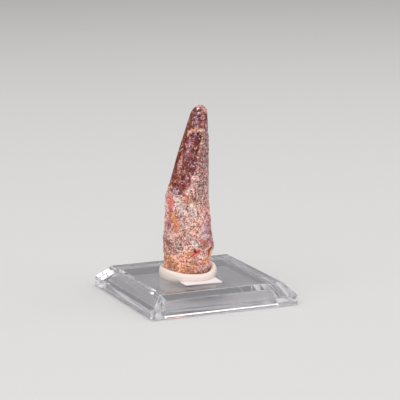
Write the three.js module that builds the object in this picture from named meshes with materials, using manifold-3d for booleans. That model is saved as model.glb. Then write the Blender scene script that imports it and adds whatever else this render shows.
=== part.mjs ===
// A fossil spinosaur tooth standing in a collar of white putty on a clear moulded display stand.
// Millimetres, +Z up. The origin is the centre of the stand's underside, and the stand's sides
// lie along X and Y. The tooth and its putty are turned on the stand as one.
import * as THREE from "three";
import { mergeVertices } from "three/addons/utils/BufferGeometryUtils.js";
import Module from "manifold-3d";

// Driving dimensions of the stand: a square block with bevelled sides and a hollow underside.
const stand = { side: 50, rimHeight: 3, bevel: 4, recessMouth: 39.4, recessRoof: 36.8, recessDepth: 3 };
const standTop = stand.rimHeight + stand.bevel;

// The thin adhesive square that lies flat on the stand, half under the putty.
const pad = { side: 12.5, thickness: 0.3, x: -2.9, y: -8.9, turn: -3.5 };

// Where the tooth stands, and how far it and its putty are turned about the vertical.
const seat = { x: -3.8, y: -3.3, turn: -23.7 };

// The putty collar: half its width and depth, its height, and the play kept to what it touches.
// Its rim is uneven by a share of its radius, and is pushed up or down by a share of its height.
const putty = {
  halfWidth: 9,
  halfDepth: 8.3,
  height: 3.3,
  edgeRadius: 1.6,
  edgeTurn: { from: -55, to: 95, by: 25 },
  footShare: 0.4,
  sinkShare: 0.6,
  topSink: 0.5,
  play: 0.3,
  padCover: { wide: 1.04, tall: 3 },
  waves: [{ count: 2, by: 0.025, turn: 70 }, { count: 5, by: 0.015, turn: 0 }],
  pushed: [
    { angle: 180, wide: 50, up: 0.16 },
    { angle: 35, wide: 32, up: 0.4 },
    { angle: -70, wide: 50, up: -0.38 },
  ],
};

// The tooth: its lower end stands clear of the stand by a bed of putty. Curves are [height, value]
// from the tooth's lower end.
const tooth = {
  length: 53.9,
  bed: 1.7,
  tipDome: 2.4,
  footRound: 1.2,
  halfWidth: [
    [0, 7.0], [6, 7.7], [13.5, 7.45], [23.3, 6.85], [33, 5.75], [42.7, 4.35], [48.4, 3.35], [53.9, 2.25],
  ],
  centre: [[0, -0.25], [13.5, 0.05], [23.3, -0.25], [33, 0.85], [42.7, 2.25], [53.9, 3.85]],
  lean: [[0, 0], [25, -0.3], [53.9, 1.0]],
  depthRatio: [[0, 0.74], [30, 0.82], [53.9, 0.9]],
  underside: [[0, 0], [0, 0.55], [0.15, 0.82], [0.5, 0.94]],
};

// Relief on the tooth. Angles are degrees round the axis from the right-hand side, and the face
// that looks forward is at -90. Heights and depths are millimetres. The crust's top edge is given
// as [angle, height].
const carina = { angles: [-66, 114], width: 11, height: 0.28, from: 16, fade: 4 };
const crust = {
  thickness: 0.42,
  edge: 0.9,
  top: [
    [-180, 27], [-150, 27.5], [-129, 26.4], [-101, 27.2], [-88, 30], [-78, 32.5], [-69, 37], [-62, 46],
    [-40, 46.6], [0, 46], [40, 42], [62, 34], [90, 28], [120, 26], [150, 25.5], [180, 27],
  ],
};
const crustLump = { count: 60, up: 0.4, least: 1.2, most: 2.4, from: 1.5, to: 27 };
const barePatches = [
  { angle: -147, height: 20, wide: 20, tall: 6, deep: 0.4 },
  { angle: -33, height: 15, wide: 18, tall: 6, deep: 0.25 },
  { angle: 70, height: 17, wide: 30, tall: 7, deep: 0.4 },
];
const lip = {
  angle: -8,
  wide: 26,
  height: 8.6,
  swell: 0.65,
  tall: 2.2,
  under: 6.0,
  undercut: 0.55,
  underTall: 0.9,
};
const mend = {
  height: 45.4,
  dip: 2.1,
  dipAngle: 180,
  dipWide: 55,
  deep: 0.25,
  tall: 0.6,
  step: 0.12,
  stepTall: 0.4,
};

// Mesh density.
const toothSides = 54;
const shaftRings = 44;
const domeRings = 6;
const puttySides = 48;

const radians = THREE.MathUtils.degToRad;

// A smooth curve through [position, value] points, flat beyond its ends.
function along(points, at) {
  const last = points.length - 1;
  const i = THREE.MathUtils.clamp(points.findIndex((p) => p[0] > at) - 1, 0, last - 1);
  const start = at >= points[last][0] ? last - 1 : i;
  const slope = (k) => {
    const before = points[Math.max(k - 1, 0)];
    const after = points[Math.min(k + 1, last)];
    return (after[1] - before[1]) / (after[0] - before[0]);
  };
  const [p, q] = [points[start], points[start + 1]];
  const span = q[0] - p[0];
  const t = THREE.MathUtils.clamp((at - p[0]) / span, 0, 1);
  const rise = q[1] - p[1];
  const bend = (1 - t) * (slope(start) * span - rise) - t * (slope(start + 1) * span - rise);
  return p[1] + t * rise + t * (1 - t) * bend;
}

const bell = (x, width) => Math.exp(-((x / width) ** 2));
const step = (x, width) => 0.5 + 0.5 * Math.tanh(x / width);

// An angle brought between -180 and 180 degrees.
const wrapped = (angle) => ((((angle % 360) + 540) % 360) - 180);

// How near an angle is to another, as a bell of the given width, in degrees.
const bellRound = (angle, centre, width) => bell(wrapped(angle - centre), width);

// The lumps of the crust, spread over it without a pattern.
const lumpList = Array.from({ length: crustLump.count }, (_, i) => ({
  angle: 360 * ((0.7548776662 * i) % 1),
  height: crustLump.from + (crustLump.to - crustLump.from) * ((0.569840291 * i) % 1),
  size: crustLump.least + (crustLump.most - crustLump.least) * ((0.381966 * i) % 1),
  up: crustLump.up * Math.sin(2.4 * i),
}));

// Height of the tooth's surface above its smooth form, at an angle and a height, where the form
// has the given radius.
function relief(angle, height, radius) {
  const covered = step(along(crust.top, wrapped(angle)) - height, crust.edge);
  const uneven = lumpList.reduce((sum, l) => sum + l.up * bell(height - l.height, l.size)
    * bellRound(angle, l.angle, THREE.MathUtils.radToDeg(l.size / radius)), 0);
  const bare = barePatches.reduce((sum, p) => sum + p.deep * bell(height - p.height, p.tall)
    * bellRound(angle, p.angle, p.wide), 0);
  const ridge = carina.height * step(height - carina.from, carina.fade)
    * carina.angles.reduce((sum, a) => sum + bellRound(angle, a, carina.width), 0);
  const overhang = lip.swell * bell(height - lip.height, lip.tall)
    - lip.undercut * bell(height - lip.under, lip.underTall);
  const mendHeight = mend.height - mend.dip * bellRound(angle, mend.dipAngle, mend.dipWide);
  const seam = mend.deep * bell(height - mendHeight, mend.tall)
    + mend.step * step(height - mendHeight, mend.stepTall);
  return crust.thickness * (covered - 0.5) + uneven * covered - bare + ridge
    + overhang * bellRound(angle, lip.angle, lip.wide) - seam;
}

// A point of the tooth's surface, in the tooth's own frame. The share of the radius is 1 on the
// shaft and falls to 0 at both ends.
function toothPoint(angle, height, share) {
  const width = along(tooth.halfWidth, height);
  const depth = width * along(tooth.depthRatio, height);
  const [c, s] = [Math.cos(radians(angle)), Math.sin(radians(angle))];
  const raised = relief(angle, height, 0.5 * (width + depth));
  return new THREE.Vector3(
    along(tooth.centre, height) + (width + raised) * c * share,
    along(tooth.lean, height) + (depth + raised) * s * share,
    height,
  );
}

// Heights of the tooth's rings with how far each is from the axis, 0 to 1. Both ends are rounded.
function toothRingList() {
  const low = tooth.footRound;
  const high = tooth.length - tooth.tipDome;
  const rise = (high - low) / shaftRings;
  const shaft = Array.from({ length: shaftRings + 1 }, (_, i) => [low + rise * i, 1]);
  const dome = Array.from({ length: domeRings }, (_, i) => {
    const turn = (Math.PI / 2) * ((i + 1) / domeRings);
    return [high + tooth.tipDome * Math.sin(turn), i === domeRings - 1 ? 0 : Math.cos(turn)];
  });
  return [...tooth.underside, ...shaft, ...dome];
}

// A closed surface turned about the vertical axis, each of whose points is then placed by a
// function of its angle in degrees and its place along the profile.
function turned(profile, sides, place) {
  const points = profile.map(([height, radius]) => new THREE.Vector2(radius, height));
  const geometry = new THREE.LatheGeometry(points, sides).rotateX(Math.PI / 2);
  if (place) {
    const position = geometry.getAttribute("position");
    for (let i = 0; i < position.count; i++) {
      const angle = (360 / sides) * (Math.floor(i / points.length) % sides);
      const p = place(angle, profile[i % points.length]);
      position.setXYZ(i, p.x, p.y, p.z);
    }
  }
  return closed(geometry);
}

// A geometry with its shared corners merged and without the flat triangles at the axis.
function closed(geometry) {
  const copy = geometry.clone();
  copy.deleteAttribute("normal");
  copy.deleteAttribute("uv");
  const merged = mergeVertices(copy, 1e-4);
  const kept = [];
  for (let i = 0; i < merged.index.count; i += 3) {
    const [a, b, c] = [0, 1, 2].map((k) => merged.index.getX(i + k));
    if (a !== b && b !== c && c !== a) kept.push(a, b, c);
  }
  return merged.setIndex(kept);
}

function toothGeometry() {
  return turned(toothRingList(), toothSides, (angle, [height, share]) => toothPoint(angle, height, share));
}

// The putty's own form: a flat-bottomed bun with a rounded edge, uneven where fingers pressed it.
function puttyGeometry() {
  const r = putty.edgeRadius;
  const core = 1 - r / putty.halfWidth;
  const top = putty.height - putty.topSink;
  const profile = [[0, 0], [0, core / 2], [0, core + putty.footShare * (1 - core)]];
  for (let turn = putty.edgeTurn.from; turn <= putty.edgeTurn.to; turn += putty.edgeTurn.by) {
    profile.push([r + r * Math.sin(radians(turn)), core + (1 - core) * Math.cos(radians(turn))]);
  }
  profile.push([top, putty.sinkShare], [top, 0]);
  return turned(profile, puttySides, (angle, [height, share]) => {
    const wave = (w) => w.by * Math.sin(radians(w.count * angle + w.turn));
    const uneven = putty.waves.reduce((sum, w) => sum + wave(w), 1);
    const pushed = putty.pushed.reduce((sum, p) => sum + p.up * bellRound(angle, p.angle, p.wide), 0);
    return new THREE.Vector3(
      putty.halfWidth * share * uneven * Math.cos(radians(angle)),
      putty.halfDepth * share * uneven * Math.sin(radians(angle)),
      height * (1 + share * pushed),
    );
  });
}

const wasm = await Module();
wasm.setup();

function toSolid(geometry, matrix = new THREE.Matrix4()) {
  const placed = geometry.clone().applyMatrix4(matrix);
  return new wasm.Manifold(new wasm.Mesh({
    numProp: 3,
    vertProperties: new Float32Array(placed.getAttribute("position").array),
    triVerts: new Uint32Array(placed.index.array),
  }));
}

function toGeometry(solid) {
  const mesh = solid.getMesh();
  return new THREE.BufferGeometry()
    .setAttribute("position", new THREE.BufferAttribute(mesh.vertProperties, 3))
    .setIndex(new THREE.BufferAttribute(mesh.triVerts, 1));
}

// The stand is turned with four sides, so its radii reach the corners of the square.
function standGeometry() {
  const corner = (side) => (side / 2) * Math.SQRT2;
  const topSide = stand.side - 2 * stand.bevel;
  const profile = [
    [stand.recessDepth, 0],
    [stand.recessDepth, corner(stand.recessRoof)],
    [0, corner(stand.recessMouth)],
    [0, corner(stand.side)],
    [stand.rimHeight, corner(stand.side)],
    [standTop, corner(topSide)],
    [standTop, 0],
  ];
  return turned(profile, 4).rotateZ(Math.PI / 4);
}

// The putty with the tooth's socket pressed into it, and cut back over the adhesive square.
function pressedPutty(toothShape, padShape, toothMatrix, padMatrix) {
  const grow = 1 + putty.play / along(tooth.halfWidth, 0);
  const socket = toothMatrix.clone().multiply(new THREE.Matrix4().makeScale(grow, grow, 1))
    .multiply(new THREE.Matrix4().makeTranslation(0, 0, -putty.play));
  const { wide, tall } = putty.padCover;
  const cover = padMatrix.clone().multiply(new THREE.Matrix4().makeScale(wide, wide, tall));
  const pressed = toSolid(puttyGeometry())
    .subtract(toSolid(toothShape, socket))
    .subtract(toSolid(padShape, cover));
  return toGeometry(pressed.decompose().sort((a, b) => b.volume() - a.volume())[0]);
}

function material(colour, roughness, more = {}) {
  return new THREE.MeshStandardMaterial({ color: colour, roughness, metalness: 0, ...more });
}

function named(name, geometry, finish) {
  const mesh = new THREE.Mesh(geometry, finish);
  mesh.name = name;
  return mesh;
}

const part = new THREE.Group();
part.add(named("stand", standGeometry(), material(0xeef0f4, 0.05, { transparent: true, opacity: 0.3 })));

const padShape = new THREE.BoxGeometry(pad.side, pad.side, pad.thickness);
const padMesh = named("adhesive_pad", padShape, material(0xf1e9ea, 0.6));
padMesh.position.set(pad.x, pad.y, standTop + pad.thickness / 2);
padMesh.rotation.z = radians(pad.turn);
part.add(padMesh);

// The turned group whose floor is the top of the stand.
const onStand = new THREE.Group();
onStand.position.set(seat.x, seat.y, standTop);
onStand.rotation.z = radians(seat.turn);
part.add(onStand);

const toothMesh = named("tooth", toothGeometry(), material(0x8f5650, 0.5));
toothMesh.position.z = tooth.bed;
onStand.add(toothMesh);

part.updateMatrixWorld(true);
const padInGroup = onStand.matrixWorld.clone().invert().multiply(padMesh.matrixWorld);
const puttyShape = pressedPutty(toothMesh.geometry, closed(padShape), toothMesh.matrix, padInGroup);
onStand.add(named("putty", puttyShape, material(0xf3e9df, 0.55)));

export default part;
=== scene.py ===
import itertools
import math

import bpy
import numpy as np
from mathutils import Matrix, Vector


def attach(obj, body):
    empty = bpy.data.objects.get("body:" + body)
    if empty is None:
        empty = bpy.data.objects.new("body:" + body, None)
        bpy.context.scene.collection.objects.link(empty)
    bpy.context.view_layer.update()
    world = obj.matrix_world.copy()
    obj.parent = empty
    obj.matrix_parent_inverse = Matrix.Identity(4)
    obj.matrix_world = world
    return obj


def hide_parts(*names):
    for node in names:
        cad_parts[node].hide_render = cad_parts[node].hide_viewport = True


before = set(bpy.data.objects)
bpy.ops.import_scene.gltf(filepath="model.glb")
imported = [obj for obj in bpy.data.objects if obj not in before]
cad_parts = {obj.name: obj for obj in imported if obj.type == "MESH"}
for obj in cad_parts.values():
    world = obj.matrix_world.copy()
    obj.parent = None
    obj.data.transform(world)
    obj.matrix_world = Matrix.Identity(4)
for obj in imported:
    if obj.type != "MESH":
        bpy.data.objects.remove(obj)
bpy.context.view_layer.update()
mm = 0.001
print("frame loaded, nodes:", ", ".join(sorted(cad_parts)))


# numbers on whole arrays

# cubic through (position, value) points, with each point's slope taken from its two neighbours
def along(points, at):
    x, y = np.array(points, float).T
    slope = np.gradient(y, x)
    slope[1:-1] = (y[2:] - y[:-2]) / (x[2:] - x[:-2])
    i = np.clip(np.searchsorted(x, at, side="right") - 1, 0, len(x) - 2)
    span = x[i + 1] - x[i]
    rise = y[i + 1] - y[i]
    t = np.clip((at - x[i]) / span, 0, 1)
    bend = (1 - t) * (slope[i] * span - rise) - t * (slope[i + 1] * span - rise)
    return y[i] + t * rise + t * (1 - t) * bend


# exp of minus the square of x over width
def bell(x, width):
    return np.exp(-((x / width) ** 2))


# the shortest way round a circle from one angle to another, in degrees
def turnFrom(centre, angle):
    return (angle - centre + 180) % 360 - 180


# the bell on the shortest way round a circle
def bellRound(angle, centre, width):
    return bell(turnFrom(centre, angle), width)


# 0 well below zero and 1 well above it: half of one plus the hyperbolic tangent of x over width
def step(x, width):
    return 0.5 + 0.5 * np.tanh(x / width)


# the i-th of many places between two bounds: whole turns are dropped from i strides, and a stride
# that is no simple fraction keeps the places from falling into a pattern
def spread(low, high, stride, i):
    return low + (high - low) * (stride * i % 1)


strides = {"size": 0.381966, "height": 0.569840291, "angle": 0.7548776662}


# points drawn together in height by a share, so that noise on them comes out upright
def upright(points, share):
    return points * np.array([1, 1, share])


# a random number from 0 to 1 for each lattice point: what is left of a large sine
def scatter(cell, seed):
    s = np.sin(cell @ np.array([127.1, 311.7, 74.7]) + 53.3 * seed) * 43758.5453
    return s - np.floor(s)


# smooth noise from -1 to 1: the eight corners of each lattice cell mixed by eased fractions
def mottle(points, size, seed):
    q = points / size
    cell = np.floor(q)
    t = q - cell
    t = t * t * (3 - 2 * t)
    total = 0
    for corner in itertools.product((0, 1), repeat=3):
        share = np.prod(np.where(corner, t, 1 - t), axis=-1)
        total = total + share * scatter(cell + corner, seed)
    return 2 * total - 1


# noise with half the size and half the height added twice over
def roughNoise(points, size, seed):
    octaves = [mottle(points, size / 2 ** k, seed + k) / 2 ** k for k in range(3)]
    return sum(octaves) / 1.75


# scattered grains: how deep each point lies in its nearest one, from 0 at the joint with the
# next to 1 at the middle, and that grain's own random number
def grains(points, size, seed):
    q = points / size
    cell = np.floor(q)
    near = np.full(q.shape[:-1], 9.0)  # farther than any grain
    second = near.copy()
    own = np.zeros_like(near)
    for offset in itertools.product((-1, 0, 1), repeat=3):
        there = cell + offset
        spot = np.stack([scatter(there, seed + k) for k in range(3)], -1)
        away = np.linalg.norm(there + spot - q, axis=-1)
        closer = away < near
        second = np.where(closer, near, np.minimum(second, away))
        own = np.where(closer, scatter(there, seed + 7), own)
        near = np.where(closer, away, near)
    return np.clip((second - near) / 0.8, 0, 1), own


# meshes

# a closed skin over rings of points: quads between neighbouring rings, which run
# counterclockwise, and a fan to the middle of the first and of the last ring
def makePiece(name, rings, smooth):
    m, n = rings.shape[:2]
    index = np.arange(m * n).reshape(m, n)
    beside = np.roll(index, -1, axis=1)
    quads = np.stack([index[:-1], beside[:-1], beside[1:], index[1:]], -1).reshape(-1, 4)
    lowFan = np.stack([np.full(n, m * n), beside[0], index[0]], -1)
    highFan = np.stack([np.full(n, m * n + 1), index[-1], beside[-1]], -1)
    points = np.concatenate([rings.reshape(-1, 3), rings[[0, -1]].mean(axis=1)]) * mm
    mesh = bpy.data.meshes.new(name)
    mesh.from_pydata(points, [], quads.tolist() + lowFan.tolist() + highFan.tolist())
    mesh.polygons.foreach_set("use_smooth", np.full(len(mesh.polygons), smooth))
    mesh.update()
    piece = bpy.data.objects.new(name, mesh)
    bpy.context.scene.collection.objects.link(piece)
    return piece


# a number or a colour for every ring point, kept on the mesh; both ends take their ring's mean
def keepOnMesh(piece, name, values):
    coloured = values.ndim == 3
    kept = piece.data.attributes.new(name, "FLOAT_COLOR" if coloured else "FLOAT", "POINT")
    ends = values[[0, -1]].mean(axis=1)
    flat = np.concatenate([values.reshape((-1,) + values.shape[2:]), ends])
    kept.data.foreach_set("color" if coloured else "value", flat.astype(np.float32).ravel())


# points of a piece's own frame turned about the upright axis and moved to their place on the stand
def ontoStand(points, seat):
    turn = math.radians(seat["turn"])
    x, y, z = np.moveaxis(points, -1, 0)
    return np.stack([
        seat["x"] + x * math.cos(turn) - y * math.sin(turn),
        seat["y"] + x * math.sin(turn) + y * math.cos(turn),
        seat["z"] + z,
    ], -1)


# materials

# a colour given as a screen shows it, 0 to 255, as the light it stands for, by the screen's curve
def shade(*rgb):
    c = np.array(rgb) / 255
    return (*np.where(c <= 0.04045, c / 12.92, ((c + 0.055) / 1.055) ** 2.4), 1)


# a material, and the few kinds of node that the finishes are made from
class Finish:
    # the shader, and each point's place on its own object
    def __init__(self, name):
        self.material = bpy.data.materials.new(name)
        self.material.use_nodes = True
        self.tree = self.material.node_tree
        self.surface = self.tree.nodes["Principled BSDF"]
        self.place = self.tree.nodes.new("ShaderNodeTexCoord").outputs["Object"]

    # a link where another node gives the value, or else the value itself
    def put(self, socket, value):
        if isinstance(value, bpy.types.NodeSocket):
            self.tree.links.new(value, socket)
        else:
            socket.default_value = value

    # values for the shader's own sockets, by name
    def set(self, **values):
        for name, value in values.items():
            self.put(self.surface.inputs[name.replace("_", " ")], value)

    # noise whose blotches are about the given size in millimetres
    def noise(self, size, detail):
        node = self.tree.nodes.new("ShaderNodeTexNoise")
        node.inputs["Scale"].default_value = 1 / (size * mm)
        node.inputs["Detail"].default_value = detail
        self.put(node.inputs["Vector"], self.place)
        return node.outputs["Fac"]

    # cells of about the given size in millimetres, each with its own random number
    def cells(self, size):
        node = self.tree.nodes.new("ShaderNodeTexVoronoi")
        node.inputs["Scale"].default_value = 1 / (size * mm)
        self.put(node.inputs["Vector"], self.place)
        split = self.tree.nodes.new("ShaderNodeSeparateColor")
        self.put(split.inputs[0], node.outputs["Color"])
        return split.outputs[0]

    # what was kept on the mesh under a name
    def kept(self, name, output="Fac"):
        node = self.tree.nodes.new("ShaderNodeAttribute")
        node.attribute_name = name
        return node.outputs[output]

    # a colour multiplied by another, by a share of the change
    def tinted(self, share, colour, tint):
        node = self.tree.nodes.new("ShaderNodeMix")
        node.data_type = "RGBA"
        node.blend_type = "MULTIPLY"
        self.put(node.inputs[0], share)
        self.put(node.inputs[6], colour)
        self.put(node.inputs[7], tint)
        return node.outputs[2]

    # a sum worked out on two values
    def math(self, way, a, b, clamp=False):
        node = self.tree.nodes.new("ShaderNodeMath")
        node.operation = way
        node.use_clamp = clamp
        self.put(node.inputs[0], a)
        self.put(node.inputs[1], b)
        return node.outputs[0]

    # a value carried straight from one span to another
    def span(self, value, fromLow, fromHigh, toLow, toHigh):
        node = self.tree.nodes.new("ShaderNodeMapRange")
        for socket, number in zip(node.inputs[1:5], (fromLow, fromHigh, toLow, toHigh)):
            socket.default_value = number
        self.put(node.inputs[0], value)
        return node.outputs[0]

    # the tilt that a height from 0 to 1 gives, for a depth in millimetres
    def bump(self, height, depth, strength):
        node = self.tree.nodes.new("ShaderNodeBump")
        node.inputs["Strength"].default_value = strength
        node.inputs["Distance"].default_value = depth * mm
        self.put(node.inputs["Height"], height)
        return node.outputs["Normal"]


# stand: a square block with a rim, bevelled sides and a hollow underside

stand = {
    "side": 50.0,
    "rimHeight": 3.0,
    "bevel": 4.0,
    "recessMouth": 39.4,
    "recessRoof": 36.8,
    "recessDepth": 3.0,
    "edgeRadius": 0.32,
    "edgeSteps": 6,
    "cornerSteps": 6,
    "middle": 0.5,  # half side of the smallest ring, in the middle of the top and of the roof
    # the lilac in the plastic's colour is painted light, standing in for the lamps' lavender light on the
    # edges
    "tint": (0.975, 0.965, 1.0, 1),
    "bending": 1.5,
}
standTop = stand["rimHeight"] + stand["bevel"]


# profile corners turned into arcs: points eased between the two sides by a quadratic curve
def roundedProfile(points, radius, steps):
    points = np.array(points, float)
    t = np.linspace(0, 1, steps + 1)[:, None]
    rows = [points[:1]]
    for before, corner, after in zip(points, points[1:], points[2:]):
        a = corner + radius * (before - corner) / np.linalg.norm(before - corner)
        b = corner + radius * (after - corner) / np.linalg.norm(after - corner)
        rows.append((1 - t) ** 2 * a + 2 * t * (1 - t) * corner + t ** 2 * b)
    rows.append(points[-1:])
    return np.concatenate(rows)


# rings of a square section: at each half side, four straight sides joined by quarter arcs
def squareRings(profile, radius, steps):
    turn = np.radians(np.concatenate([np.linspace(0, 90, steps) + 90 * q for q in range(4)]))
    quarter = np.repeat(np.arange(4), steps)
    cornerX = np.where((quarter == 0) | (quarter == 3), 1, -1)
    cornerY = np.where(quarter < 2, 1, -1)
    half, height = profile[:, :1], profile[:, 1:]
    arc = np.minimum(radius, 0.5 * half)
    x = cornerX * (half - arc) + arc * np.cos(turn)
    y = cornerY * (half - arc) + arc * np.sin(turn)
    return np.stack([x, y, height + 0 * x], -1)


# a profile from the roof of the hollow, down its wall, under the foot, up the rim and the bevel to
# the middle of the top, carried round the square; the largest faces decide the normals
def makeStand():
    half = stand["side"] / 2
    profile = roundedProfile([
        (stand["middle"], stand["recessDepth"]),
        (stand["recessRoof"] / 2, stand["recessDepth"]),
        (stand["recessMouth"] / 2, 0),
        (half, 0),
        (half, stand["rimHeight"]),
        (half - stand["bevel"], standTop),
        (stand["middle"], standTop),
    ], stand["edgeRadius"], stand["edgeSteps"])
    rings = squareRings(profile, stand["edgeRadius"], stand["cornerSteps"])
    piece = makePiece("clear_stand", rings, True)
    flat = piece.modifiers.new("flat faces", "WEIGHTED_NORMAL")
    flat.weight = 100
    return piece


# light passes through and is bent; the plastic is polished, and its trace of lilac is painted light that
# stands in for the lamps' lavender light on the edges
def clearPlastic():
    finish = Finish("clear plastic")
    finish.set(Base_Color=stand["tint"], Roughness=0.0, IOR=stand["bending"], Transmission_Weight=1.0)
    return finish.material


standPiece = makeStand()
standPiece.data.materials.append(clearPlastic())
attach(standPiece, "root")
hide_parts("stand")
print("stand made")


# tooth: smooth form as in the solid, with the crust, mend and damage laid on it

seat = {"x": -3.8, "y": -3.3, "z": standTop + 1.7, "turn": -23.7}
tooth = {
    "length": 53.9,
    "tipDome": 2.4,
    "tipRings": 25,
    "footRound": 1.2,
    "footMiddle": 0.08,  # shares of the foot's radius where its flat underside starts and ends
    "footFlat": 0.86,
    "footRings": 9,
    "edgeRings": 13,
    "halfWidth": [
        (0, 7.0), (6, 7.7), (13.5, 7.45), (23.3, 6.85), (33, 5.75), (42.7, 4.35), (48.4, 3.35), (53.9, 2.25),
    ],
    "centre": [(0, -0.25), (13.5, 0.05), (23.3, -0.25), (33, 0.85), (42.7, 2.25), (53.9, 3.85)],
    "lean": [(0, 0), (25, -0.3), (53.9, 1.0)],
    "depthRatio": [(0, 0.74), (30, 0.82), (53.9, 0.9)],
    "around": 272,
    "rows": 312,
}
carina = {"angles": (-66, 114), "width": 11, "height": 0.28, "from": 16, "soft": 4}
crust = {
    "thickness": 0.42,
    "edge": 0.16,
    "ragged": 0.75,
    "spread": 4.2,
    "most": 1.6,
    "patch": 2.4,
    "crumb": 0.9,
    "crumbBy": 0.7,
    "crumbUpright": 0.7,
    "top": [
        (-180, 27), (-150, 27.5), (-129, 26.4), (-101, 27.2), (-88, 30), (-78, 32.5), (-69, 37),
        (-62, 46), (-40, 46.6), (0, 46), (40, 42), (62, 34), (90, 28), (120, 26), (150, 25.5), (180, 27),
    ],
}
crustLump = {
    "count": 60, "up": 0.4, "least": 1.2, "most": 2.4, "from": 1.5, "to": 27,
    "calm": 0.75, "calmWide": 30,  # the right edge is smoother
}
barePatches = [
    {"angle": -147, "height": 20, "wide": 20, "tall": 6, "deep": 0.4},
    {"angle": -33, "height": 15, "wide": 18, "tall": 6, "deep": 0.25},
    {"angle": 70, "height": 17, "wide": 30, "tall": 7, "deep": 0.4},
]
lip = {
    "angle": -8, "wide": 26, "height": 8.6, "swell": 0.65, "tall": 2.2,
    "under": 5.2, "undercut": 0.7, "underTall": 1.8,
}
mend = {
    "height": 45.4, "dip": 2.1, "dipWide": 55, "deep": 0.1, "tall": 0.6, "step": 0.05, "stepTall": 0.4,
    "filler": (222, 168, 140), "fillerAbove": 0.5, "fillerHalf": 0.75, "fillerFray": 0.8, "fillerShare": 0.7,
}

# a thin film of crust up the right side, where it is smoother and greyer; right and behind are
# shares of the radius
film = {
    "from": 26.5, "fromSoft": 3, "right": 0.32, "rightSoft": 0.14, "behind": 0.4, "behindSoft": 0.3,
    "thin": 0.75, "smooth": 0.6, "colour": (158, 110, 108), "share": 0.75,
}

# grain of the crust and of the enamel: sizes across and depths, and how far each is drawn upright
grain = {
    "coarse": 0.95, "coarseDeep": 0.2, "fine": 0.42, "fineDeep": 0.1, "joint": 0.4,
    "wave": 1.8, "waveDeep": 0.3,
    "gap": 0.65, "gapLevel": 0.36, "gapEdge": 0.07, "gapDeep": 0.12,
    "flake": 0.38, "flakeUpright": 0.6, "flakeDeep": 0.05,
    "wrinkle": 0.8, "wrinkleUpright": 0.3, "wrinkleDeep": 0.06,
    "flutes": 30, "fluteDeep": 0.05, "wander": 6.0, "wanderBy": 0.9,
    "worn": 1.3, "wornDeep": 0.28, "wornFrom": 50.5, "wornSoft": 0.9,
}

# hollows in the side that faces front: how far right and how high, half width and depth
pits = [
    (3.3, 52.3, 0.42, 0.5), (2.3, 8.2, 0.9, 0.3), (6.9, 7.6, 0.7, 0.4), (3.7, 28.6, 0.5, 0.3),
    (1.2, 25.2, 0.6, 0.25), (-1.0, 13.8, 0.7, 0.25), (3.3, 16.8, 0.6, 0.25), (-3.4, 9.4, 0.7, 0.25),
]

# enamel: streaks from dark to pale, and rust below a height and more at the left
enamel = {
    "colours": [(88, 34, 30), (126, 64, 62), (148, 87, 90), (170, 118, 127)],
    "streak": 1.6, "streakUpright": 0.22, "contrast": 2.2,
    "rust": (134, 60, 38), "rustShare": 0.7, "rustSize": 3.0, "rustUpright": 0.5, "rustEdge": 0.14,
    "rustLess": 0.1, "rustTo": 43, "rustToSoft": 3, "rustDrop": 0.5,
    "rustLeft": 0.4, "rustLeftSoft": 0.2, "rustMore": 0.35,
    # the pale single flakes are painted glints on the enamel; the dark ones are dark flakes
    "pale": (222, 186, 188), "paleOver": 0.87, "dark": (52, 20, 18), "darkUnder": 0.1,
}

# crust: sands blended by noise, each coarse grain's own colour, a warm foot and a rosy right side
sand = {
    "colours": [(216, 144, 118), (226, 170, 156), (206, 162, 158), (222, 148, 140)],
    "patch": 3.6, "contrast": 1.8,
    "pebbles": [(208, 146, 126), (228, 180, 166), (244, 220, 214), (224, 162, 146), (236, 200, 184)],
    "pebbleShare": 0.4,
    "foot": (240, 166, 128), "footTo": 8, "rosy": (244, 180, 172), "rosyTo": 24, "toSoft": 3,
    "rosyRight": 0.35, "rosySoft": 0.25, "zoneShare": 0.6,
    "gap": (94, 44, 32), "gapShare": 0.6,
    # the pale single grains are pale grains brightened with painted glints; the dark ones are dark grains
    "pale": (255, 244, 242), "paleOver": 0.85, "dark": (84, 40, 30), "darkUnder": 0.06,
}

# how light each place is: shares of grains and noise in a value, and what the colour is multiplied
# by at some values
lightness = {
    "grain": 0.4, "patch": 0.55, "patchSizes": (2.0, 5.0), "sandMore": 0.06,
    "flake": 0.3, "cloud": 0.5, "cloudSize": 0.6, "cloudUpright": 0.6, "streak": 0.3, "enamelMore": 0.04,
    "curve": [(-1.1, 0.26), (-0.6, 0.6), (-0.2, 0.9), (0.2, 1.1), (0.6, 1.32), (1.0, 1.55)],
    "scale": 0.62, "hidden": 0.8, "single": 0.5, "singleEdge": 0.03,
    "enamel": 0.96, "crustLess": 0.08, "least": 0.005, "most": 0.95,
}

# noise that frays the edges of marks: sizes and strengths on the crust and on the enamel
fraying = {
    "crust": 1.1, "crustBy": 0.5, "crumb": 0.45, "crumbBy": 0.6,
    "enamel": 0.9, "enamelBy": 0.9, "flake": 0.35, "flakeBy": 0.7, "upright": 0.35,
}

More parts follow.
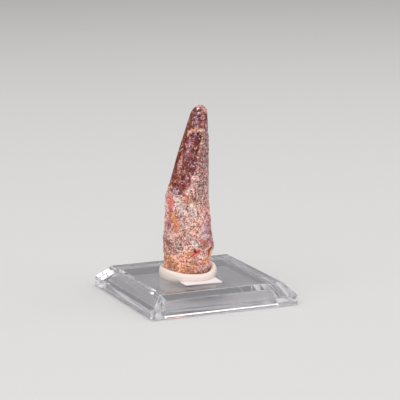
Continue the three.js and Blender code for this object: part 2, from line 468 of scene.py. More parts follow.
# marks on the side that faces front: a colour, how much of it shows, how far noise moves the
# edge, how far it hides the grain, and strokes through points, each given by how far right of
# the tooth's foot and how high it lies and by the stroke's half width there
marks = {
    # the tooth's red-brown on the tip's left side, darkened there with painted shade
    "red flank and painted shade": {"colour": (128, 74, 60), "share": 0.75, "fray": 0.4, "smooth": 0.2, "strokes": [
        [(1.8, 52.5, 0.48), (0.8, 50.0, 0.61), (0.0, 47.5, 0.58)],
    ]},
    "dark flank": {"colour": (80, 40, 30), "share": 0.8, "fray": 0.3, "smooth": 0.2, "strokes": [
        [(5.9, 51.2, 0.32), (6.0, 49.0, 0.29)],
    ]},
    "worn tip": {"colour": (206, 146, 128), "share": 0.8, "fray": 0.4, "smooth": 0.2, "strokes": [
        [(2.6, 53.5, 0.32), (3.6, 53.7, 0.42), (4.8, 53.3, 0.49), (5.3, 52.5, 0.53)],
    ]},
    "tip purple": {"colour": (132, 86, 98), "share": 0.7, "fray": 0.45, "smooth": 0.1, "strokes": [
        [(3.5, 50.2, 0.51), (3.1, 49.1, 0.89), (3.1, 48.3, 0.73)],
    ]},
    "tip dark": {"colour": (66, 32, 46), "share": 0.85, "fray": 0.3, "smooth": 0.2, "strokes": [
        [(3.0, 50.9, 0.35), (3.6, 50.8, 0.29), (4.3, 51.2, 0.48)],
        [(3.7, 49.7, 0.22), (4.1, 48.9, 0.19)],
    ]},
    "tip pale": {"colour": (190, 140, 136), "share": 0.75, "fray": 0.35, "smooth": 0.2, "strokes": [
        [(2.6, 50.8, 0.15), (2.2, 49.8, 0.18), (1.5, 48.3, 0.18)],
    ]},
    "tip tan": {"colour": (192, 138, 112), "share": 0.8, "fray": 0.25, "smooth": 0.3, "strokes": [
        [(5.2, 51.2, 0.19), (5.1, 49.8, 0.32), (4.6, 48.4, 0.38)],
    ]},
    "chip": {"colour": (246, 230, 226), "share": 0.9, "fray": 0.15, "smooth": 0.6, "strokes": [
        [(3.1, 52.8, 0.38), (3.3, 53.0, 0.32)],
    ]},
    "chip side": {"colour": (226, 200, 204), "share": 0.85, "fray": 0.15, "smooth": 0.5, "strokes": [
        [(2.7, 51.4, 0.19), (3.6, 51.8, 0.22)],
    ]},
    "hole": {"colour": (34, 22, 20), "share": 0.95, "fray": 0.1, "smooth": 0.5, "strokes": [
        [(3.0, 52.1, 0.22), (3.9, 52.4, 0.29)],
    ]},
    # a painted gold glint on the right edge of the tip
    "painted gold glint": {"colour": (230, 200, 142), "share": 0.7, "fray": 0.1, "smooth": 0.3, "strokes": [
        [(5.9, 51.8, 0.19)],
    ]},
    "tip red": {"colour": (140, 72, 54), "share": 0.8, "fray": 0.1, "smooth": 0.3, "strokes": [
        [(3.7, 47.9, 0.16), (4.7, 47.5, 0.19)],
    ]},
    "filler": {"colour": (226, 176, 152), "share": 0.85, "fray": 0.5, "smooth": 0.45, "strokes": [
        [
            (-0.4, 44.6, 0.29), (0.4, 45.6, 0.48), (1.7, 46.2, 0.67), (3.3, 46.4, 0.83),
            (4.7, 46.2, 0.8),
        ],
    ]},
    "filler orange": {"colour": (226, 152, 92), "share": 0.8, "fray": 0.25, "smooth": 0.5, "strokes": [
        [(1.2, 46.4, 0.29), (2.2, 46.7, 0.37)],
    ]},
    # painted highlights on the filler band
    "painted filler highlights": {"colour": (246, 216, 204), "share": 0.75, "fray": 0.35, "smooth": 0.4, "strokes": [
        [(0.5, 45.6, 0.26)],
        [(2.8, 45.8, 0.29)],
        [(4.0, 46.3, 0.29), (4.8, 46.3, 0.29)],
    ]},
    "filler end": {"colour": (204, 152, 116), "share": 0.75, "fray": 0.25, "smooth": 0.3, "strokes": [
        [(-1.3, 44.4, 0.22), (-1.0, 44.0, 0.29)],
    ]},
    "brown gap": {"colour": (114, 66, 56), "share": 0.75, "fray": 0.2, "smooth": 0.3, "strokes": [
        [(-0.3, 45.6, 0.32), (-0.6, 44.9, 0.29)],
    ]},
    # a painted highlight: the lilac sheen of a softbox on the enamel
    "lilac sheen": {"colour": (162, 116, 128), "share": 0.6, "fray": 0.5, "smooth": 0, "strokes": [
        [(0.9, 43.7, 0.51), (0.2, 39.9, 0.7), (-0.5, 37.1, 0.58)],
    ]},
    # rust-brown along the enamel's left edge, darkened with painted shade
    "brown edge and painted shade": {"colour": (120, 58, 44), "share": 0.6, "fray": 0.45, "smooth": 0, "strokes": [
        [
            (-1.0, 43.2, 0.32), (-2.1, 40.3, 0.38), (-3.3, 36.2, 0.35), (-4.4, 32.0, 0.35),
            (-5.2, 29.5, 0.32),
        ],
    ]},
    "dark enamel": {"colour": (96, 54, 66), "share": 0.75, "fray": 0.35, "smooth": 0.1, "strokes": [
        [(2.8, 45.2, 0.61), (2.5, 43.1, 0.58)],
    ]},
    "filler line": {"colour": (222, 158, 134), "share": 0.75, "fray": 0.2, "smooth": 0.4, "strokes": [
        [
            (4.8, 45.5, 0.42), (4.4, 43.9, 0.26), (4.1, 42.7, 0.22), (3.8, 40.9, 0.22),
            (3.6, 39.5, 0.29),
        ],
    ]},
    "filler line end": {"colour": (198, 126, 92), "share": 0.75, "fray": 0.3, "smooth": 0.2, "strokes": [
        [(3.5, 39.1, 0.38), (3.4, 37.9, 0.32)],
    ]},
    "lilac streak": {"colour": (176, 142, 160), "share": 0.7, "fray": 0.12, "smooth": 0, "strokes": [
        [(2.1, 44.8, 0.11), (2.2, 43.4, 0.13)],
        [(0.3, 40.3, 0.32), (0.4, 39.5, 0.29)],
    ]},
    # painted glints on the enamel
    "glint": {"colour": (226, 202, 210), "share": 0.75, "fray": 0.1, "smooth": 0, "strokes": [
        [(0.5, 41.9, 0.13), (0.5, 40.9, 0.14)],
        [(2.9, 41.4, 0.1), (2.5, 40.4, 0.16)],
    ]},
    "purple enamel": {"colour": (106, 66, 82), "share": 0.7, "fray": 0.4, "smooth": 0, "strokes": [
        [(2.3, 39.4, 0.35), (1.9, 36.9, 0.54), (1.4, 35.6, 0.45)],
    ]},
    "tan enamel": {"colour": (160, 98, 82), "share": 0.6, "fray": 0.4, "smooth": 0, "strokes": [
        [(-0.4, 38.7, 0.35), (-0.6, 36.8, 0.42)],
    ]},
    "rust": {"colour": (134, 48, 20), "share": 0.85, "fray": 0.3, "smooth": 0.2, "strokes": [
        [(-2.4, 39.2, 0.32), (-2.7, 38.1, 0.6), (-2.8, 37.3, 0.36)],
        [(-0.1, 34.3, 0.36), (0.8, 33.9, 0.52)],
        [(-1.8, 29.6, 0.6), (-0.8, 29.0, 0.68)],
        [(-1.0, 28.6, 0.68)],
    ]},
    "rust pale": {"colour": (152, 70, 38), "share": 0.75, "fray": 0.4, "smooth": 0.1, "strokes": [
        [(-3.4, 32.1, 0.54), (-2.9, 31.3, 0.49)],
        [(-4.3, 30.3, 0.45), (-4.6, 29.0, 0.45)],
    ]},
    "frost": {"colour": (210, 164, 154), "share": 0.65, "fray": 0.7, "smooth": 0, "strokes": [
        [(-1.9, 37.9, 0.19), (-2.4, 36.4, 0.35), (-2.9, 34.5, 0.46), (-3.0, 33.4, 0.35)],
        [(-3.7, 32.6, 0.31)],
        [(-2.1, 30.5, 0.46)],
    ]},
    "white cluster": {"colour": (228, 208, 208), "share": 0.75, "fray": 0.25, "smooth": 0, "strokes": [
        [(1.3, 35.3, 0.16), (2.2, 35.1, 0.19)],
    ]},
    "cream enamel": {"colour": (204, 164, 154), "share": 0.6, "fray": 0.5, "smooth": 0, "strokes": [
        [(0.6, 32.8, 0.31), (1.5, 32.1, 0.35)],
        [(3.1, 29.9, 0.54), (4.0, 30.3, 0.54)],
    ]},
    "crack": {"colour": (80, 45, 38), "share": 0.75, "fray": 0.15, "smooth": 0, "strokes": [
        [(3.7, 28.6, 0.13), (4.4, 28.9, 0.13)],
    ]},
    "maroon": {"colour": (112, 58, 64), "share": 0.8, "fray": 0.4, "smooth": 0.2, "strokes": [
        [(-3.0, 28.6, 0.61), (-2.1, 27.1, 0.69), (-2.5, 26.0, 0.31)],
    ]},
    "lilac sand": {"colour": (192, 168, 180), "share": 0.7, "fray": 0.4, "smooth": 0, "strokes": [
        [(-4.3, 27.5, 0.54), (-3.7, 25.4, 0.62)],
    ]},
    "pink": {"colour": (216, 134, 126), "share": 0.85, "fray": 0.3, "smooth": 0.7, "strokes": [
        [
            (-5.7, 25.9, 0.44), (-5.5, 24.5, 0.96), (-5.3, 23.3, 1.28), (-5.5, 21.7, 0.84),
            (-5.8, 20.0, 0.64), (-6.0, 18.1, 0.72), (-6.0, 16.4, 0.72),
        ],
    ]},
    "deep pink": {"colour": (206, 94, 94), "share": 0.7, "fray": 0.3, "smooth": 0.7, "strokes": [
        [(-5.5, 24.8, 0.37), (-5.5, 22.3, 0.54), (-5.8, 19.7, 0.33)],
    ]},
    "violet pink": {"colour": (188, 98, 118), "share": 0.8, "fray": 0.2, "smooth": 0.7, "strokes": [
        [(-6.0, 16.6, 0.54), (-5.9, 15.3, 0.54)],
    ]},
    "amber": {"colour": (236, 168, 94), "share": 0.85, "fray": 0.2, "smooth": 0.7, "strokes": [
        [(-4.6, 19.7, 0.58), (-4.4, 18.3, 0.81)],
    ]},
    "orange": {"colour": (232, 142, 98), "share": 0.85, "fray": 0.2, "smooth": 0.7, "strokes": [
        [(-3.9, 17.7, 0.86), (-3.4, 16.2, 0.95), (-3.7, 14.4, 0.69)],
    ]},
    "pale rim": {"colour": (238, 204, 198), "share": 0.7, "fray": 0.15, "smooth": 0.4, "strokes": [
        [(-5.3, 14.5, 0.15), (-4.2, 13.7, 0.17)],
    ]},
    "brown sand": {"colour": (176, 114, 86), "share": 0.65, "fray": 0.5, "smooth": 0.1, "strokes": [
        [(-3.8, 21.0, 0.45), (-3.1, 19.5, 0.58)],
        [(1.4, 25.6, 1.43)],
    ]},
    "dark sand": {"colour": (108, 62, 46), "share": 0.75, "fray": 0.25, "smooth": 0, "strokes": [
        [(-2.9, 18.8, 0.22)],
        [(-0.4, 14.7, 0.29)],
        [(0.7, 15.5, 0.19)],
    ]},
    "rose sand": {"colour": (216, 128, 100), "share": 0.75, "fray": 0.45, "smooth": 0.25, "strokes": [
        [(-0.3, 25.7, 0.76), (0.1, 24.0, 0.81)],
    ]},
    "white sand": {"colour": (240, 218, 212), "share": 0.85, "fray": 0.6, "smooth": 0.25, "strokes": [
        [(-3.2, 24.5, 0.75), (-2.4, 22.7, 1.08), (-1.2, 20.5, 1.0)],
        [(1.0, 22.4, 1.08), (2.0, 19.5, 1.0)],
        [(2.3, 10.4, 1.33)],
        [(4.2, 6.1, 0.66)],
    ]},
    "grey sand": {"colour": (190, 158, 152), "share": 0.65, "fray": 0.6, "smooth": 0, "strokes": [
        [(-0.5, 18.3, 0.75), (-1.5, 16.3, 0.83)],
        [(-3.0, 11.3, 1.25), (-2.8, 8.5, 1.08)],
    ]},
    "olive sand": {"colour": (200, 172, 132), "share": 0.55, "fray": 0.5, "smooth": 0, "strokes": [
        [(2.9, 22.6, 0.83)],
        [(1.6, 16.0, 1.0)],
        [(3.7, 18.6, 0.91)],
        [(-0.9, 14.6, 0.75)],
    ]},
    "rose haze": {"colour": (230, 164, 158), "share": 0.7, "fray": 0.6, "smooth": 0.15, "strokes": [
        [(3.6, 9.3, 0.83), (5.8, 11.3, 0.83)],
        [(6.4, 21.9, 0.51), (6.6, 20.0, 0.38)],
        [(4.2, 4.3, 0.77), (2.6, 3.8, 0.64)],
    ]},
    "dusky sand": {"colour": (176, 118, 102), "share": 0.65, "fray": 0.6, "smooth": 0, "strokes": [
        [(-6.9, 11.0, 0.77), (-5.0, 9.2, 0.89), (-6.0, 6.7, 0.77)],
    ]},
    "plum": {"colour": (94, 42, 50), "share": 0.8, "fray": 0.15, "smooth": 0.1, "strokes": [
        [(5.4, 18.9, 0.23), (6.0, 19.9, 0.19)],
    ]},
    "lilac": {"colour": (192, 142, 158), "share": 0.75, "fray": 0.35, "smooth": 0.45, "strokes": [
        [(6.1, 19.5, 0.28), (6.2, 17.6, 0.72), (6.0, 15.5, 1.08), (6.0, 13.5, 0.96)],
    ]},
    "pale lilac": {"colour": (224, 192, 194), "share": 0.8, "fray": 0.45, "smooth": 0.4, "strokes": [
        [(4.4, 14.8, 0.72), (4.9, 12.8, 1.07), (5.9, 11.9, 1.07)],
    ]},
    "brown spot": {"colour": (158, 92, 80), "share": 0.8, "fray": 0.2, "smooth": 0.3, "strokes": [
        [(7.0, 13.9, 0.29), (7.2, 12.2, 0.46)],
    ]},
    "violet edge": {"colour": (162, 98, 128), "share": 0.75, "fray": 0.2, "smooth": 0.4, "strokes": [
        [(6.6, 11.3, 0.42), (7.5, 9.6, 0.46)],
    ]},
    "salmon": {"colour": (220, 130, 122), "share": 0.8, "fray": 0.3, "smooth": 0.5, "strokes": [
        [(4.5, 11.3, 0.65), (5.5, 10.3, 0.93)],
    ]},
    "lip": {"colour": (238, 198, 168), "share": 0.8, "fray": 0.2, "smooth": 0.3, "strokes": [
        [(7.7, 8.8, 0.35), (7.7, 7.5, 0.38)],
    ]},
    "notch": {"colour": (138, 46, 16), "share": 0.9, "fray": 0.15, "smooth": 0.4, "strokes": [
        [(7.1, 8.5, 0.33), (6.8, 7.3, 0.42)],
    ]},
    "gold": {"colour": (206, 136, 54), "share": 0.85, "fray": 0.15, "smooth": 0.5, "strokes": [
        [(6.8, 6.6, 0.37), (6.7, 5.7, 0.33)],
    ]},
    "red rim": {"colour": (216, 104, 90), "share": 0.8, "fray": 0.25, "smooth": 0.5, "strokes": [
        [(1.5, 6.7, 0.43), (2.5, 7.9, 0.86), (3.3, 7.6, 0.52)],
    ]},
    "red": {"colour": (138, 26, 22), "share": 0.9, "fray": 0.15, "smooth": 0.6, "strokes": [
        [(2.1, 8.7, 0.29), (2.5, 7.7, 0.5)],
    ]},
    "tan by red": {"colour": (196, 130, 86), "share": 0.75, "fray": 0.3, "smooth": 0.2, "strokes": [
        [(0.2, 7.3, 0.77), (0.9, 7.3, 0.67)],
    ]},
    "tan foot": {"colour": (228, 156, 106), "share": 0.75, "fray": 0.5, "smooth": 0.15, "strokes": [
        [(-7.1, 5.4, 0.89), (-5.3, 4.2, 1.07), (-2.5, 2.5, 0.81), (0.4, 1.9, 0.67)],
        [(5.0, 3.9, 0.81), (5.8, 5.1, 0.63)],
    ]},
    "foot shadow": {"colour": (70, 48, 42), "share": 0.7, "fray": 0.2, "smooth": 0, "strokes": [
        [(3.2, 1.0, 0.19), (5.5, 1.1, 0.16)],
    ]},
}

# marks on the other side, spread without a pattern
stray = {
    "count": 44,
    "from": 3,
    "to": 50,
    "least": 0.7,
    "most": 1.9,
    "share": 0.7,
    "fray": 0.35,
    "sand": [
        (222, 140, 128), (214, 178, 152), (228, 150, 96), (192, 168, 166), (178, 124, 154), (184, 128, 104),
    ],
    "enamel": [(132, 54, 30), (130, 90, 110), (206, 160, 146), (90, 48, 52), (176, 116, 96)],
}


# heights of the rings with each one's share of the full radius: a flat underside, a rounded
# edge, evenly spaced rings up the shaft, and a quarter circle at the tip
def toothRows():
    low, high, flat = tooth["footRound"], tooth["length"] - tooth["tipDome"], tooth["footFlat"]
    turn = np.radians(np.linspace(4, 90, tooth["edgeRings"] + 1)[:-1])
    inside = np.linspace(tooth["footMiddle"], flat, tooth["footRings"])
    foot = np.stack([0 * inside, inside], -1)
    edge = np.stack([low * (1 - np.cos(turn)) ** 0.8, flat + (1 - flat) * np.sin(turn)], -1)
    shaft = np.stack([np.linspace(low, high, tooth["rows"]), np.ones(tooth["rows"])], -1)
    turn = np.radians(np.linspace(0, 88, tooth["tipRings"] + 1)[1:])
    dome = np.stack([high + tooth["tipDome"] * np.sin(turn), np.cos(turn)], -1)
    return np.concatenate([foot, edge, shaft, dome])


# how much of each place the sandy crust covers, 0 to 1: below an edge whose height changes
# round the tooth; noise breaks it up, so crumbs of crust are left some way above it
def crustCover(angle, height, points):
    below = (along(crust["top"], angle) - height) / crust["spread"]
    crumbs = mottle(upright(points, crust["crumbUpright"]), crust["crumb"], 4)
    patchy = roughNoise(points, crust["patch"], 3) + crust["crumbBy"] * crumbs
    return step(np.clip(below, -crust["most"], crust["most"]) + crust["ragged"] * patchy, crust["edge"])


# the crust's lumps, spread without a pattern: bells up or down by a sine of their number
def crustLumps(angle, height, radius):
    total = 0
    for i in range(crustLump["count"]):
        size = spread(crustLump["least"], crustLump["most"], strides["size"], i)
        at = spread(crustLump["from"], crustLump["to"], strides["height"], i)
        near = bellRound(angle, spread(0, 360, strides["angle"], i), np.degrees(size / radius))
        total = total + crustLump["up"] * math.sin(2.4 * i) * bell(height - at, size) * near
    return total


# share of each place that strokes cover: the half width of the nearest stretch less the distance
# to it, with noise added, is above zero inside
def strokeCover(strokes, right, up, noise):
    inside = np.full(right.shape, -9.0)  # far outside
    for stroke in strokes:
        for (x, z, wide), (nextX, nextZ, nextWide) in zip(stroke, stroke[1:] or stroke):
            run, rise = nextX - x, nextZ - z
            t = ((right - x) * run + (up - z) * rise) / max(run ** 2 + rise ** 2, 0.0001)
            t = np.clip(t, 0, 1)
            away = np.hypot(right - x - t * run, up - z - t * rise)
            inside = np.maximum(inside, wide + t * (nextWide - wide) - away)
    return step(inside + noise, 0.07)


# a blend of colours by a value from -1 to 1, evenly spread over them
def blend(value, colours):
    stops = np.linspace(-1, 1, len(colours))
    table = np.array([shade(*c)[:3] for c in colours])
    return np.stack([np.interp(value, stops, table[:, k]) for k in range(3)], -1)


# a colour laid over others by a share for each place
def layer(under, share, colour):
    return under + share[..., None] * (np.array(shade(*colour)[:3]) - under)


# the smooth form: rings round a leaning middle line, wider than deep
rows = toothRows()
height = np.repeat(rows[:, :1], tooth["around"], axis=1)
share = np.repeat(rows[:, 1:], tooth["around"], axis=1)
angle = np.repeat(np.arange(tooth["around"])[None] * 360 / tooth["around"] - 180, len(rows), axis=0)
width = along(tooth["halfWidth"], height)
depth = width * along(tooth["depthRatio"], height)
radius = 0.5 * (width + depth)
cosine, sine = np.cos(np.radians(angle)), np.sin(np.radians(angle))
middle = np.stack([along(tooth["centre"], height), along(tooth["lean"], height), height], -1)
outward = np.stack([cosine * share, sine * share, 0 * share], -1)
form = middle + np.stack([width * cosine * share, depth * sine * share, 0 * height], -1)

# where the crust, its film and the mend are, and which places face front
covered = crustCover(angle, height, form)
filmed = step(height - film["from"], film["fromSoft"]) * step(cosine - film["right"], film["rightSoft"])
filmed = filmed * step(film["behind"] - sine, film["behindSoft"])
pastMend = height - mend["height"] + mend["dip"] * bellRound(angle, 180, mend["dipWide"])
facing = step(-sine, 0.08)

# the single grains and flakes, the gaps between them and the enamel's streaks
coarseDeep, coarseOwn = grains(form, grain["coarse"], 11)
fineDeep, fineOwn = grains(form, grain["fine"], 23)
flakeDeep, flakeOwn = grains(upright(form, grain["flakeUpright"]), grain["flake"], 37)
gaps = step(-roughNoise(form, grain["gap"], 57) - grain["gapLevel"], grain["gapEdge"])
streak = roughNoise(upright(form, enamel["streakUpright"]), enamel["streak"], 51)


# larger relief: the crust's thickness and lumps less the patches worn bare, a ridge along each
# edge, the lip with the notch under it, less the mend's seam and the hollows
def largeRelief():
    relief = crust["thickness"] * (covered - 0.5) * (1 - film["thin"] * filmed)
    calm = 1 - crustLump["calm"] * bellRound(angle, 0, crustLump["calmWide"])
    relief = relief + covered * calm * crustLumps(angle, height, radius)
    for patch in barePatches:
        near = bellRound(angle, patch["angle"], patch["wide"])
        relief = relief - patch["deep"] * bell(height - patch["height"], patch["tall"]) * near
    ridge = sum(bellRound(angle, a, carina["width"]) for a in carina["angles"])
    relief = relief + carina["height"] * step(height - carina["from"], carina["soft"]) * ridge
    overhang = lip["swell"] * bell(height - lip["height"], lip["tall"])
    overhang = overhang - lip["undercut"] * bell(height - lip["under"], lip["underTall"])
    relief = relief + overhang * bellRound(angle, lip["angle"], lip["wide"])
    relief = relief - mend["deep"] * bell(pastMend, mend["tall"])
    relief = relief - mend["step"] * step(pastMend, mend["stepTall"])
    for x, z, wide, deep in pits:
        away = np.hypot(form[..., 0] - x, height - z) / wide
        relief = relief - deep * step(-sine, 0.1) * np.exp(-away ** 4)
    return relief


# the crust's grain: how deep each place lies in its coarse and fine grain, slow waves, and gaps
def sandRelief():
    relief = grain["coarseDeep"] * (coarseDeep - grain["joint"])
    relief = relief + grain["fineDeep"] * (fineDeep - grain["joint"])
    relief = relief + grain["waveDeep"] * roughNoise(form, grain["wave"], 31) - grain["gapDeep"] * gaps
    return covered * relief * (1 - film["smooth"] * filmed)


# the enamel's grain: flutes as sines round the tooth that wander with noise, wrinkles and flakes
def enamelRelief():
    wander = grain["wanderBy"] * mottle(form, grain["wander"], 5)
    flutes = grain["fluteDeep"] * np.sin(np.radians(angle) * grain["flutes"] + wander)
    drawn = upright(form, grain["wrinkleUpright"])
    wrinkles = grain["wrinkleDeep"] * roughNoise(drawn, grain["wrinkle"], 41)
    return (1 - covered) * (flutes + wrinkles + grain["flakeDeep"] * (flakeDeep - 0.5))


worn = grain["wornDeep"] * roughNoise(form, grain["worn"], 45)
worn = worn * step(height - grain["wornFrom"], grain["wornSoft"])
surface = form + outward * (largeRelief() + sandRelief() + enamelRelief() + worn)[..., None]
surface[..., 2] = surface[..., 2] + (1 - share) * worn * step(height - 30, 1)  # the tip only


# the enamel's colours: streaks, with rust where slow noise less what the height takes off is high
def enamelTone():
    rusty = roughNoise(upright(form, enamel["rustUpright"]), enamel["rustSize"], 61) - enamel["rustLess"]
    rusty = rusty - enamel["rustDrop"] * step(height - enamel["rustTo"], enamel["rustToSoft"])
    rusty = rusty + enamel["rustMore"] * step(-cosine - enamel["rustLeft"], enamel["rustLeftSoft"])
    streaks = blend(enamel["contrast"] * streak, enamel["colours"])
    return layer(streaks, enamel["rustShare"] * step(rusty, enamel["rustEdge"]), enamel["rust"])


# the crust's colours: sands by slow noise, part of each coarse grain's own, then the foot, the
# right side and the film laid over them
def sandTone():
    tone = blend(sand["contrast"] * roughNoise(form, sand["patch"], 71), sand["colours"])
    tone = tone + sand["pebbleShare"] * (blend(2 * coarseOwn - 1, sand["pebbles"]) - tone)
    tone = layer(tone, sand["zoneShare"] * step(sand["footTo"] - height, sand["toSoft"]), sand["foot"])
    rosy = step(cosine - sand["rosyRight"], sand["rosySoft"]) * step(sand["rosyTo"] - height, sand["toSoft"])
    tone = layer(tone, sand["zoneShare"] * rosy, sand["rosy"])
    return layer(tone, film["share"] * filmed, film["colour"])


# noise that frays the marks: even on the crust, drawn upright on the enamel
def frayNoise():
    drawn = upright(form, fraying["upright"])
    onCrust = fraying["crustBy"] * roughNoise(form, fraying["crust"], 81)
    onCrust = onCrust + fraying["crumbBy"] * mottle(form, fraying["crumb"], 91)
    onEnamel = fraying["enamelBy"] * roughNoise(drawn, fraying["enamel"], 82)
    onEnamel = onEnamel + fraying["flakeBy"] * mottle(drawn, fraying["flake"], 92)
    return covered * onCrust + (1 - covered) * onEnamel


# the marks in front laid over the colours one after another, where their strokes cover; the
# second result is how far they hide the grain
def layMarks(tone, fray):
    plain = np.zeros_like(height)
    for mark in marks.values():
        cover = facing * strokeCover(mark["strokes"], form[..., 0], height, mark["fray"] * fray)
        tone = layer(tone, mark["share"] * cover, mark["colour"])
        plain = np.maximum(plain, mark["smooth"] * cover)
    return tone, plain


# short upright strokes on the other side, smaller and in other colours above the crust's edge;
# every second one on the crust is smooth; then the mend's filler as a band round the tooth
def layStrays(tone, plain, fray):
    for i in range(stray["count"]):
        at = spread(0, 180, strides["angle"], i)
        up = spread(stray["from"], stray["to"], strides["height"], i)
        wide = spread(stray["least"], stray["most"], strides["size"], i)
        higher = up > along(crust["top"], np.array([at]))[0]
        colours = stray["enamel"] if higher else stray["sand"]
        wide = wide * (0.5 if higher else 1)
        stroke = [(0, up - wide, 0.6 * wide), (0, up + wide, 0.4 * wide)]
        across = np.radians(turnFrom(at, angle)) * radius
        cover = (1 - facing) * strokeCover([stroke], across, height, stray["fray"] * fray)
        tone = layer(tone, stray["share"] * cover, colours[i % len(colours)])
        if not higher and i % 2 == 0:
            plain = np.maximum(plain, cover)
    inside = mend["fillerHalf"] - np.abs(pastMend - mend["fillerAbove"]) + mend["fillerFray"] * fray
    return layer(tone, mend["fillerShare"] * (1 - facing) * step(inside, 0.2), mend["filler"]), plain


# the colours multiplied along a curve by a value from each grain's own number and from noise; gaps
# and single dark grains and flakes are laid over them, and single pale ones, which are painted glints on the
# enamel and pale grains with painted glints on the crust
def layGrain(tone, plain):
    shown = 1 - lightness["hidden"] * plain
    gritty, shiny = covered * shown, (1 - covered) * shown
    small, large = lightness["patchSizes"]
    patches = roughNoise(form, small, 58) + roughNoise(form, large, 66)
    grit = lightness["grain"] * (fineOwn - 0.5) + lightness["patch"] * patches + lightness["sandMore"]
    cloud = roughNoise(upright(form, lightness["cloudUpright"]), lightness["cloudSize"], 59)
    flake = lightness["flake"] * (flakeOwn - 0.5) + lightness["cloud"] * cloud
    flake = flake + lightness["streak"] * streak + lightness["enamelMore"]
    value = (shiny * flake + gritty * grit) / lightness["scale"]
    tone = tone * np.interp(value, *np.array(lightness["curve"]).T)[..., None]
    tone = layer(tone, sand["gapShare"] * gritty * gaps, sand["gap"])
    for place, own, look in [(gritty, fineOwn, sand), (shiny, flakeOwn, enamel)]:
        # pale singles are painted glints on the enamel and pale grains with painted glints on the crust;
        # dark singles are dark grains and flakes
        pale = step(own - look["paleOver"], lightness["singleEdge"])
        dark = step(look["darkUnder"] - own, lightness["singleEdge"])
        tone = layer(tone, lightness["single"] * place * pale, look["pale"])
        tone = layer(tone, lightness["single"] * place * dark, look["dark"])
    tone = (lightness["enamel"] - lightness["crustLess"] * covered)[..., None] * tone
    return np.clip(tone, lightness["least"], lightness["most"])


fray = frayNoise()
tone = enamelTone()
tone = tone + covered[..., None] * (sandTone() - tone)
tone, plain = layMarks(tone, fray)
tone, plain = layStrays(tone, plain, fray)
tone = layGrain(tone, plain)
toothPiece = makePiece("fossil_tooth", ontoStand(surface, seat), True)
keepOnMesh(toothPiece, "crust", covered * (1 - film["smooth"] * filmed))
keepOnMesh(toothPiece, "plain", plain)
keepOnMesh(toothPiece, "tone", np.concatenate([tone, np.ones_like(tone[..., :1])], -1))

fossilLook = {
    "speck": 0.34, "speckSpan": (0.66, 1.34), "cloud": 0.3, "cloudSpan": (0.72, 1.26),
    "contrast": (1.7, 1.1), "plainLeaves": 0.4,
    "darkShare": 0.17, "darkStrength": 0.9, "darkTint": (0.5, 0.33, 0.27, 1),
    "specular": 0.2, "roughness": (0.36, 0.8), "bump": 0.35, "bumpDeep": 0.08, "bumpStrength": 0.6,
}


# the kept colours times specks and clouds raised to a power, which is higher on the enamel and
# lower on plain marks; some specks are dark; the enamel shines and the crust is dull
def fossil():
    finish = Finish("fossil tooth")
    own = finish.cells(fossilLook["speck"])
    cloud = finish.span(finish.noise(fossilLook["cloud"], 2), 0.3, 0.7, *fossilLook["cloudSpan"])
    uneven = finish.span(finish.kept("crust"), 0, 1, *fossilLook["contrast"])
    left = finish.span(finish.kept("plain"), 0, 1, 1, fossilLook["plainLeaves"])
    uneven = finish.math("MULTIPLY", uneven, left)
    speck = finish.math("MULTIPLY", cloud, finish.span(own, 0, 1, *fossilLook["speckSpan"]))
    speck = finish.math("POWER", speck, uneven)
    dark = finish.math("LESS_THAN", own, fossilLook["darkShare"])
    dark = finish.math("MULTIPLY", finish.math("MULTIPLY", uneven, fossilLook["darkStrength"]), dark, True)
    colour = finish.tinted(1.0, finish.kept("tone", "Color"), speck)
    colour = finish.tinted(dark, colour, fossilLook["darkTint"])
    finish.set(Base_Color=colour, Specular_IOR_Level=fossilLook["specular"])
    finish.set(Roughness=finish.span(finish.kept("crust"), 0, 1, *fossilLook["roughness"]))
    bump = finish.noise(fossilLook["bump"], 2)
    finish.set(Normal=finish.bump(bump, fossilLook["bumpDeep"], fossilLook["bumpStrength"]))
    return finish.material


toothPiece.data.materials.append(fossil())
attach(toothPiece, "root")
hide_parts("tooth")
print("tooth made,", len(toothPiece.data.polygons), "faces")


# putty: a roll pressed round the foot, high at the left and at the right behind, low in front

putty = {
    "halfWidth": 9.0,
    "halfDepth": 8.3,
    "top": [
        (-180, 3.7), (-150, 3.7), (-125, 3.35), (-105, 2.85), (-90, 2.6), (-60, 2.4), (-35, 2.6), (-10, 3.4),
        (20, 4.2), (45, 4.3), (80, 3.6), (120, 3.2), (150, 3.5), (180, 3.6),
    ],
    "clear": 0.05,
    "bed": 1.6,
    "above": 0.02,
    "holds": (0.2, 2.6),  # heights of the tooth's foot that it is pressed against
    "arc": (-64, 172),
    "arcSteps": 40,
    "columns": 136,
    "sway": [(0.025, 2, 70), (0.015, 5, 0)],  # share of the radius, waves round and start
    "dents": 0.14,
    "dentSizes": (4.0, 1.5),
    "colour": shade(236, 222, 214),
    "roughness": 0.55,
    "specular": 0.35,
}


